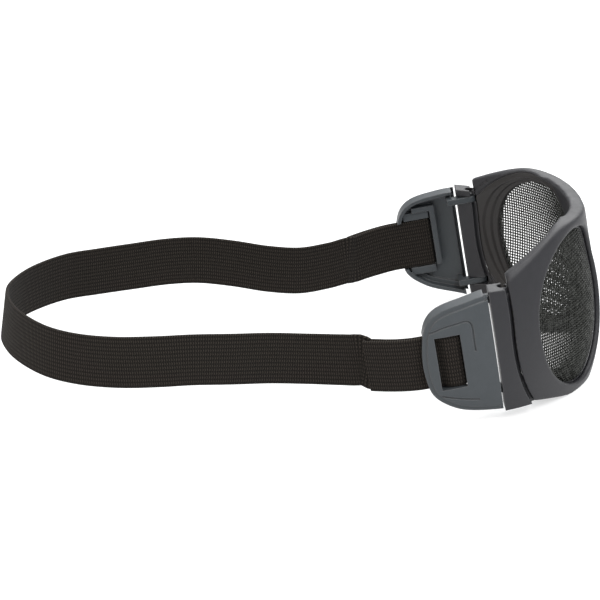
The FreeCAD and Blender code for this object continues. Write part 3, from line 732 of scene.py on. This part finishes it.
@dataclass
class LensWeave:
    """One lens of plain-woven wire lying on the CAD sheet."""

    side: Side
    axis_y: float = -62.54 * MM
    pitch_round: float = 1.42 * MM
    pitch_up: float = 1.5 * MM
    wire_radius: float = 0.33 * MM
    crimp: float = 0.2 * MM
    nominal_radius: float = 74.0 * MM
    widest_angle: float = math.radians(66.0)
    thickest: float = 1.5 * MM
    skin: float = 0.05 * MM
    samples: int = 4
    sides: int = 6

    @property
    def node(self) -> str:
        """CAD node that this lens replaces."""
        return f"lens_mesh_{self.side.label}"

    def build(self, finish: bpy.types.Material) -> bpy.types.Object:
        """Weaves the lens.

        Args:
            finish: Material of the wire.

        Returns:
            The woven piece.
        """
        tree = self._sheet()
        low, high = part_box(self.node)
        shell = Shell()
        turn = self.pitch_round / self.nominal_radius
        angles = self._lane(0.0, self.widest_angle, turn)
        levels = self._lane(low[2], high[2], self.pitch_up)
        for number, angle in enumerate(angles):
            steps = self._fine(levels)
            lifts = [self._weft(number, z - levels[0], self.pitch_up) for z in steps]
            self._wire_along(shell, [self._spot(tree, angle, z) for z in steps], lifts)
        for number, level in enumerate(levels):
            steps = self._fine(angles)
            lifts = [-self._weft(number, a - angles[0], turn) for a in steps]
            self._wire_along(shell, [self._spot(tree, a, level) for a in steps], lifts)
        woven = shell.piece(f"woven_lens_{self.side.label}", finish)
        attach(woven, BODY)
        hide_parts(self.node)
        log.info("%s: %d points", woven.name, len(shell.points))
        return woven

    def _sheet(self) -> BVHTree:
        """Search tree over the CAD sheet."""
        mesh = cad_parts[self.node].data
        points = [v.co for v in mesh.vertices]
        faces = [tuple(p.vertices) for p in mesh.polygons]
        return BVHTree.FromPolygons(points, faces)

    @staticmethod
    def _lane(low: float, high: float, pitch: float) -> np.ndarray:
        """Places of the wires of one direction."""
        return np.arange(math.ceil(low / pitch), math.floor(high / pitch) + 1) * pitch

    def _fine(self, lane: np.ndarray) -> np.ndarray:
        """Sample places along a wire: several between each pair of crossings."""
        count = (len(lane) - 1) * self.samples + 1
        return np.linspace(lane[0], lane[-1], count)

    def _weft(self, number: int, run: float, pitch: float) -> float:
        """Height of a crimped wire over the middle of the cloth.

        Args:
            number: Count of the wire in its direction.
            run: Distance along the wire from its first crossing.
            pitch: Distance between crossings.

        Returns:
            Offset outwards.
        """
        return self.crimp * (-1) ** number * math.cos(math.pi * run / pitch)

    def _spot(self, tree: BVHTree, angle: float, level: float) -> np.ndarray:
        """Finds one point of the cloth's middle.

        Args:
            tree: Search tree of the sheet.
            angle: Angle about the barrel's upright axis.
            level: Height.

        Returns:
            Angle, height and distance from the axis, which is nan beside the sheet and in
            the openings of its grid.
        """
        out = Vector((math.sin(angle) * self.side.value, -math.cos(angle), 0.0))
        start = Vector((0.0, self.axis_y, level))
        first = tree.ray_cast(start, out)
        if first[0] is None:
            return np.array([angle, level, math.nan])
        second = tree.ray_cast(first[0] + out * self.skin, out)
        if second[0] is None or second[3] > self.thickest:
            return np.array([angle, level, math.nan])
        return np.array([angle, level, first[3] + second[3] / 2])

    def _placed(self, spots: np.ndarray) -> np.ndarray:
        """Takes angles, heights and distances from the axis to points."""
        angle, level, radius = spots.T
        x = np.sin(angle) * radius * self.side.value
        return np.stack([x, self.axis_y - np.cos(angle) * radius, level], axis=1)

    def _wire_along(self, shell: Shell, spots: list[np.ndarray], lifts: list[float]) -> None:
        """Adds one wire from the first to the last point that meets the sheet.

        Args:
            shell: Where the tube goes.
            spots: Angle, height and distance from the axis of each sample.
            lifts: Crimp of each sample.
        """
        line = np.array(spots)
        met = np.flatnonzero(~np.isnan(line[:, 2]))
        if len(met) < 2 or met[-1] - met[0] < self.samples:
            return
        line[:, 2] = np.interp(np.arange(len(line)), met, line[met, 2])
        span = slice(met[0], met[-1] + 1)
        middle = self._placed(line[span])
        outward = middle * (1.0, 1.0, 0.0) - (0.0, self.axis_y, 0.0)
        outward = unit(outward)
        lifted = middle + outward * np.array(lifts)[span, None]
        self._tube(shell, lifted, outward)

    def _tube(self, shell: Shell, line: np.ndarray, normals: np.ndarray) -> None:
        """Adds one wire.

        Args:
            shell: Where the tube goes.
            line: Its middle line.
            normals: Outward directions.
        """
        ahead = unit(np.gradient(line, axis=0))
        side = unit(np.cross(ahead, normals))
        up = np.cross(side, ahead)
        rings = []
        for k in range(self.sides):
            angle = 2 * math.pi * k / self.sides
            rings.append(line + self.wire_radius * (math.cos(angle) * up + math.sin(angle) * side))
        start = shell.grid(np.stack(rings, axis=1), True)
        shell.cap(start, self.sides, False)
        shell.cap(start + (len(line) - 1) * self.sides, self.sides, True)


# Webbing


@dataclass
class Webbing:
    """Ribbed elastic swept along a line of stations."""

    wide: float = 25.0 * MM
    thick: float = 1.5 * MM
    rib: float = 1.9 * MM
    rib_depth: float = 0.24 * MM
    selvedge: float = 0.9 * MM
    edge_share: float = 0.35
    per_rib: int = 5

    def section(self) -> np.ndarray:
        """Outline of the cross-section: share across and offset out, all the way round."""
        count = int(round(self.wide / self.rib)) * self.per_rib
        across = np.linspace(-self.wide / 2, self.wide / 2, count + 1)
        edge = np.clip((self.wide / 2 - np.abs(across)) / self.selvedge, 0, 1)
        bulge = np.sqrt(1 - (1 - edge) ** 2)
        half = self.thick / 2 * (self.edge_share + (1 - self.edge_share) * bulge)
        groove = self.rib_depth * (1 - np.abs(np.sin(math.pi * across / self.rib))) ** 2
        top = np.stack([across, half - groove * edge], axis=1)
        under = np.stack([across, groove * edge - half], axis=1)[::-1]
        return np.vstack([top, under])

    def sweep(
        self, name: str, line: np.ndarray, rise: np.ndarray, finish: bpy.types.Material
    ) -> bpy.types.Object:
        """Sweeps the section along a line.

        Args:
            name: Name of the piece.
            line: Middle line, shape (n, 3).
            rise: Direction across the strap at each station, shape (n, 3).
            finish: Material.

        Returns:
            The strap piece.
        """
        ahead = unit(np.gradient(line, axis=0))
        rise = unit(rise - ahead * np.sum(rise * ahead, axis=1, keepdims=True))
        out = np.cross(ahead, rise)
        section = self.section()
        rows = (
            line[:, None, :]
            + section[None, :, 0:1] * rise[:, None, :]
            + section[None, :, 1:2] * out[:, None, :]
        )
        runs = np.linalg.norm(np.diff(line, axis=0), axis=1)
        along = np.concatenate([[0.0], np.cumsum(runs)]) / MM
        weave = np.zeros(rows.shape[:2] + (2,))
        weave[..., 0] = along[:, None]
        weave[..., 1] = section[None, :, 0] / MM
        shell = Shell()
        start = shell.grid(rows, True, weave)
        count = len(section)
        shell.cap(start, count, False)
        shell.cap(start + (len(line) - 1) * count, count, True)
        made = shell.piece(name, finish)
        log.info("%s: %.0f mm long", name, along[-1])
        return made


@dataclass
class StrapEnd:
    """End of the webbing at one bracket: main layer, turn round the crossbar and tail.

    Sizes are millimetres in the slit's own frame, as in the CAD source: U rearward, W along
    the slit.
    """

    side: Side
    seat_y: float = -89.54
    seat_z: float = 5.8
    tilt: float = math.radians(10.1)
    plate_inner: float = 74.6
    crown: float = 1.4
    gap: float = 0.2
    thick: float = 1.6
    turn: float = 1.95
    window_front: float = 15.0
    window_length: float = 11.4
    level: float = 30.0
    exit: float = 44.0
    tail_end: float = 57.6
    lean: float = 7.6
    lean_power: float = 1.6
    bend: float = 34.6
    bar_end: float = 21.0
    tuck: float = 0.7
    step: float = 0.7
    tail_steps: int = 40
    turn_steps: int = 14
    slope_steps: int = 8

    @property
    def tail_x(self) -> float:
        """Middle line of the tail beside the window."""
        return self.plate_inner - self.crown - self.gap - self.thick / 2

    def shift(self, u: float) -> float:
        """Inward lean of the webbing past the bracket."""
        share = max(u - self.bend, 0.0) / (self.tail_end - self.bend)
        return self.lean * share**self.lean_power

    def tail(self) -> np.ndarray:
        """Middle line of the tail as (x, u) pairs, from the window to its cut end."""
        start = self.window_front + self.window_length - self.thick / 2
        places = np.linspace(start, self.tail_end, self.tail_steps)
        return np.array([(self.tail_x - self.shift(u), u) for u in places])

    def inner_layer(self) -> np.ndarray:
        """Middle line of the layer under the tail, over the tail's whole length."""
        tail = self.tail()
        ahead = unit(np.gradient(tail, axis=0))
        inward = np.stack([-ahead[:, 1], ahead[:, 0]], axis=1)
        return tail + inward * (self.thick + self.gap)

    def main_layer(self) -> np.ndarray:
        """The inner layer from where the head strap takes over to the window."""
        inner = self.inner_layer()
        return inner[inner[:, 1] <= self.exit][::-1]

    def strap_start(self) -> np.ndarray:
        """The inner layer from the bracket's exit to the tail's cut end."""
        inner = self.inner_layer()
        return inner[inner[:, 1] >= self.exit - self.thick]

    def path(self) -> np.ndarray:
        """Whole middle line, from the main layer's exit to the end of the tail."""
        tail = self.tail()
        main = self.main_layer()
        main_x = tail[0, 0] - self.thick - self.gap
        turn_u = self.window_front - self.tuck + self.gap + self.thick / 2 + self.turn
        angles = np.linspace(0, math.pi, self.turn_steps)
        arc = np.stack(
            [main_x + self.turn * (1 - np.cos(angles)), turn_u - self.turn * np.sin(angles)],
            axis=1,
        )
        crown_x = main_x + 2 * self.turn
        share = np.linspace(0, 1, self.slope_steps, endpoint=False)
        drop = (1 - np.cos(math.pi * share)) / 2
        slope = np.stack(
            [crown_x + (tail[0, 0] - crown_x) * drop,
             self.bar_end + (tail[0, 1] - self.bar_end) * share],
            axis=1,
        )
        return np.vstack([main, arc, slope, tail])

    def placed(self, line: np.ndarray) -> np.ndarray:
        """Takes (x, u) pairs at the strap's level into the CAD frame, in metres."""
        cos, sin = math.cos(self.tilt), math.sin(self.tilt)
        x = line[:, 0] * self.side.value
        y = line[:, 1] * cos + self.level * sin + self.seat_y
        z = -line[:, 1] * sin + self.level * cos + self.seat_z
        return np.stack([x, y, z], axis=1) * MM

    def upward(self) -> np.ndarray:
        """Direction along the slit."""
        return np.array([0.0, math.sin(self.tilt), math.cos(self.tilt)])

    def build(self, webbing: Webbing, finish: bpy.types.Material) -> bpy.types.Object:
        """Makes the strap end.

        Args:
            webbing: The webbing to sweep.
            finish: Its material.

        Returns:
            The piece, riding on the bracket.
        """
        line = even(self.placed(self.path()), self.step * MM)
        rise = np.tile(self.upward(), (len(line), 1)) * self.side.value
        made = webbing.sweep(f"webbing_end_{self.side.label}", line, rise, finish)
        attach(made, self.side.bracket)
        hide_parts(f"strap_wrap_{self.side.label}")
        return made


@dataclass
class HeadStrap:
    """One half of the elastic round the back of the head.

    Sizes are millimetres. The plan and the upper edge repeat the CAD source: shares of the
    strap's reach, half width and top.
    """

    end: StrapEnd
    reach: float = 231.0
    half_width: float = 71.0
    top: float = 37.4
    wide: float = 25.0
    settle: float = 26.0
    rear_lean: float = 0.16
    step: float = 1.6
    curve_step: float = 1.0
    start_stride: int = 4
    bend_row: int = 6
    bend_run: float = 75.0
    plan: tuple[Flat, ...] = (
        (0.277, 0.853), (0.295, 0.832), (0.325, 0.797),
        (0.385, 0.75), (0.455, 0.76), (0.53, 0.815), (0.605, 0.85), (0.675, 0.852),
        (0.75, 0.815), (0.825, 0.745), (0.89, 0.64), (0.945, 0.455), (0.982, 0.245),
        (1.0, 0.0),
    )
    edge: tuple[Flat, ...] = (
        (0.13, 0.995), (0.19, 0.962), (0.24, 0.925), (0.3, 0.862), (0.38, 0.818),
        (0.48, 0.852), (0.59, 0.908), (0.7, 0.882), (0.79, 0.84), (0.9, 0.853), (1.03, 0.885),
    )

    def stations(self) -> tuple[np.ndarray, np.ndarray]:
        """Works out the middle line and the direction across.

        Returns:
            Points in metres and directions, from the bracket to the back of the head.
        """
        sign = self.end.side.value
        start = self.end.placed(self.end.strap_start())
        edge = smooth_line(np.array(self.edge) * (self.reach, self.top), self.curve_step)
        plan = np.array([(a * self.reach, b * self.half_width) for a, b in self.plan])
        level = np.interp(plan[:, 0], edge[:, 0], edge[:, 1]) - self.wide / 2
        loop = np.stack(
            [plan[:, 1] * sign, plan[:, 0] + self.end.seat_y, level + self.end.seat_z], axis=1
        )
        mirror = loop[-2] * (-1, 1, 1)
        course = np.vstack([start[:: self.start_stride], loop * MM, mirror * MM])
        line = smooth_line(course, self.curve_step * MM)
        line = even(line[line[:, 0] * sign >= -SMALL], self.step * MM)
        line[-1, 0] = 0.0
        runs = np.linalg.norm(np.diff(line, axis=0), axis=1)
        along = np.concatenate([[0.0], np.cumsum(runs)]) / MM
        share = np.clip(1 - along / self.settle, 0, 1)[:, None] ** 2
        back = (along / along[-1])[:, None] ** 2
        level_rise = np.array([0.0, 0.0, 1.0]) - back * np.array([0.0, self.rear_lean, 0.0])
        rise = share * self.end.upward() + (1 - share) * level_rise
        return line, rise

    def build(self, webbing: Webbing, finish: bpy.types.Material) -> bpy.types.Object:
        """Makes this half of the strap.

        Args:
            webbing: The webbing to sweep.
            finish: Its material.

        Returns:
            The piece.
        """
        side = self.end.side
        line, rise = self.stations()
        made = webbing.sweep(f"head_strap_{side.label}", line, rise * side.value, finish)
        first = line[self.bend_row]
        last = first + np.array([0.0, self.bend_run * MM, 0.0])
        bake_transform(made)
        if side is Side.LEFT:
            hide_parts("strap_loop")
        return made


# Carried-over CAD pieces


@dataclass
class MouldedPieces:
    """CAD nodes that keep their shape and get a finish each."""

    frame_finish: bpy.types.Material

    def dress(self) -> None:
        """Assigns a material to every node that stays."""
        plans: list[tuple[bpy.types.Material, str]] = [
            (self.frame_finish, "hinge_wing"),
            (RETAINER_PLASTIC.make(), "lens_retainer"),
            (BRACKET_PLASTIC.make(), "strap_bracket"),
            (BAR_PLASTIC.make(), "strap_bar"),
            (PIN_PLASTIC.make(), "hinge_pin"),
            (HEM_COATING.make(), "lens_hem"),
        ]
        for material, stem in plans:
            for name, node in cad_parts.items():
                if name.startswith(stem):
                    node.data.materials.clear()
                    node.data.materials.append(material)
                    log.info("%s gets %s", name, material.name)


@dataclass
class SoftMoulding:
    """A CAD node whose edges are rounded as a mould leaves them, most of all at its top."""

    node: str
    grain: float = 0.45 * MM
    edge_rounds: int = 7
    brow_rounds: int = 42
    brow_depth: float = 4.2 * MM
    brow_fade: float = 1.6 * MM
    strip: float = 2.0 * MM
    pull: float = 0.5

    def build(self, finish: bpy.types.Material) -> bpy.types.Object:
        """Makes the rounded piece.

        Args:
            finish: Its material.

        Returns:
            The piece that replaces the node.
        """
        mesh = self._even_mesh()
        points = np.empty(len(mesh.vertices) * 3, dtype=np.float32)
        mesh.vertices.foreach_get("co", points)
        points = points.reshape(-1, 3).astype(float)
        pairs = np.empty(len(mesh.edges) * 2, dtype=np.int32)
        mesh.edges.foreach_get("vertices", pairs)
        pairs = pairs.reshape(-1, 2)
        points = self._relaxed(points, pairs, np.ones(len(points)), self.edge_rounds)
        points = self._relaxed(points, pairs, self._brow(points), self.brow_rounds)
        mesh.vertices.foreach_set("co", points.astype(np.float32).ravel())
        mesh.update()
        mesh.materials.clear()
        mesh.materials.append(finish)
        mesh.shade_smooth()
        made = bpy.data.objects.new(f"soft_{self.node}", mesh)
        bpy.context.scene.collection.objects.link(made)
        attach(made, BODY)
        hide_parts(self.node)
        log.info("%s: %d points", made.name, len(points))
        return made

    def _even_mesh(self) -> bpy.types.Mesh:
        """Copy of the node's mesh with small even faces."""
        copy = bpy.data.objects.new("even_copy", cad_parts[self.node].data.copy())
        bpy.context.scene.collection.objects.link(copy)
        remesh = copy.modifiers.new("even", "REMESH")
        remesh.mode = "VOXEL"
        remesh.voxel_size = self.grain
        bpy.context.view_layer.update()
        seen = copy.evaluated_get(bpy.context.evaluated_depsgraph_get())
        mesh = bpy.data.meshes.new_from_object(seen)
        bpy.data.objects.remove(copy)
        return mesh

    def _brow(self, points: np.ndarray) -> np.ndarray:
        """How much each point takes part in the brow's rounding, between 0 and 1."""
        strips = np.round(points[:, 0] / self.strip).astype(int)
        strips -= strips.min()
        tops = np.full(strips.max() + 1, points[:, 2].min())
        np.maximum.at(tops, strips, points[:, 2])
        depth = tops[strips] - points[:, 2]
        return np.clip((self.brow_depth - depth) / self.brow_fade, 0.0, 1.0)

    def _relaxed(
        self, points: np.ndarray, pairs: np.ndarray, weights: np.ndarray, rounds: int
    ) -> np.ndarray:
        """Moves each point towards the mean of its neighbours, again and again.

        Args:
            points: Array of shape (n, 3).
            pairs: Point numbers of each edge.
            weights: Share of the pull that each point gets.
            rounds: How many times.

        Returns:
            The moved points.
        """
        count = np.bincount(pairs.ravel(), minlength=len(points))[:, None]
        for _ in range(rounds):
            total = np.zeros_like(points)
            for axis in range(3):
                ends = points[pairs, axis]
                total[:, axis] += np.bincount(pairs[:, 0], ends[:, 1], len(points))
                total[:, axis] += np.bincount(pairs[:, 1], ends[:, 0], len(points))
            points = points + self.pull * weights[:, None] * (total / count - points)
        return points


# Studio


@dataclass(frozen=True)
class Lamp:
    """A square soft lamp."""

    name: str
    place: Point
    width: float
    power: float
    tint: Colour = WHITE

    def hang(self, target: Point) -> None:
        """Adds the lamp to the scene.

        Args:
            target: Point that it shines at.
        """
        light = bpy.data.lights.new(self.name, "AREA")
        light.color = self.tint
        light.size = self.width
        light.energy = self.power
        lamp = bpy.data.objects.new(self.name, light)
        lamp.location = self.place
        aim(lamp, Vector(target) - Vector(self.place))
        bpy.context.scene.collection.objects.link(lamp)


def aim(turned: bpy.types.Object, ahead: Vector) -> None:
    """Turns a lamp or camera so that it looks along a direction.

    Args:
        turned: The lamp or camera.
        ahead: The direction.
    """
    turned.rotation_euler = ahead.to_track_quat("-Z", "Y").to_euler()


@dataclass
class Studio:
    """Floor, lamps, world and camera."""

    eye: Point = (-0.80043, 0.02295, 0.37018)
    look: Point = (0.92014526, -0.0257271, -0.39073113)
    lens: float = 109.08
    sensor: float = 36.0
    near_clip: float = 0.01
    floor_half: float = 3.0
    shine_share: float = 0.6
    sky: Colour = (0.9, 0.95, 1.0)
    sky_strength: float = 0.55
    target: Point = (0.0, -0.02, 0.03)
    lamps: tuple[Lamp, ...] = (
        Lamp("key", place=(-0.9, -0.75, 1.5), width=1.0, power=20.0),
        Lamp("fill", place=(-0.9, 0.9, 0.9), width=1.2, power=8.0, tint=(1.0, 0.86, 0.72)),
        Lamp("top", place=(0.25, -0.15, 1.7), width=0.9, power=16.0),
        Lamp("rim", place=(1.3, -0.4, 1.05), width=1.1, power=14.0),
    )

    def build(self) -> None:
        """Sets the stage."""
        self._floor()
        self._world()
        for lamp in self.lamps:
            lamp.hang(self.target)
        self._camera()
        bpy.context.scene.view_settings.view_transform = "Standard"

    def _floor(self) -> None:
        """Adds the paper floor."""
        half = self.floor_half
        corners = [(-half, -half, 0), (half, -half, 0), (half, half, 0), (-half, half, 0)]
        shell = Shell([np.array(c) for c in corners], [(0, 1, 2, 3)])
        floor = shell.piece("studio_floor", StudioPaper().make(), smooth=False)

    def _world(self) -> None:
        """Lights evenly and shows white to the camera and in reflections."""
        world = bpy.data.worlds.new("studio_world")
        bpy.context.scene.world = world
        recipe = Recipe(world, "ShaderNodeOutputWorld")
        path = recipe.rays()
        shine = (path["Is Glossy Ray"] * self.shine_share + path["Is Camera Ray"]).held()
        seen = shine.larger(path["Is Transmission Ray"])
        look = {"Color": full(self.sky), "Strength": self.sky_strength}
        soft = recipe.node("ShaderNodeBackground", {}, look)
        white = recipe.node("ShaderNodeBackground", {}, {"Color": full(WHITE), "Strength": 1.0})
        recipe.end(recipe.node("ShaderNodeMixShader", {}, {0: seen, 1: soft, 2: white}))

    def _camera(self) -> None:
        """Adds the camera at the photograph's viewpoint."""
        data = bpy.data.cameras.new("camera")
        data.lens = self.lens
        data.sensor_width = self.sensor
        data.clip_start = self.near_clip
        camera = bpy.data.objects.new("camera", data)
        camera.location = self.eye
        aim(camera, Vector(self.look))
        bpy.context.scene.collection.objects.link(camera)
        bpy.context.scene.camera = camera


# Assembly


def main() -> None:
    """Builds the scene piece by piece."""
    Studio().build()
    frame_finish = FRAME_PLASTIC.make()
    SoftMoulding("front_frame").build(frame_finish)
    MouldedPieces(frame_finish).dress()
    wire = WIRE.make()
    cloth = CLOTH.make()
    webbing = Webbing()
    for side in Side:
        LensWeave(side).build(wire)
        end = StrapEnd(side)
        end.build(webbing, cloth)
        HeadStrap(end).build(webbing, cloth)


if __name__ == "__main__":
    main()
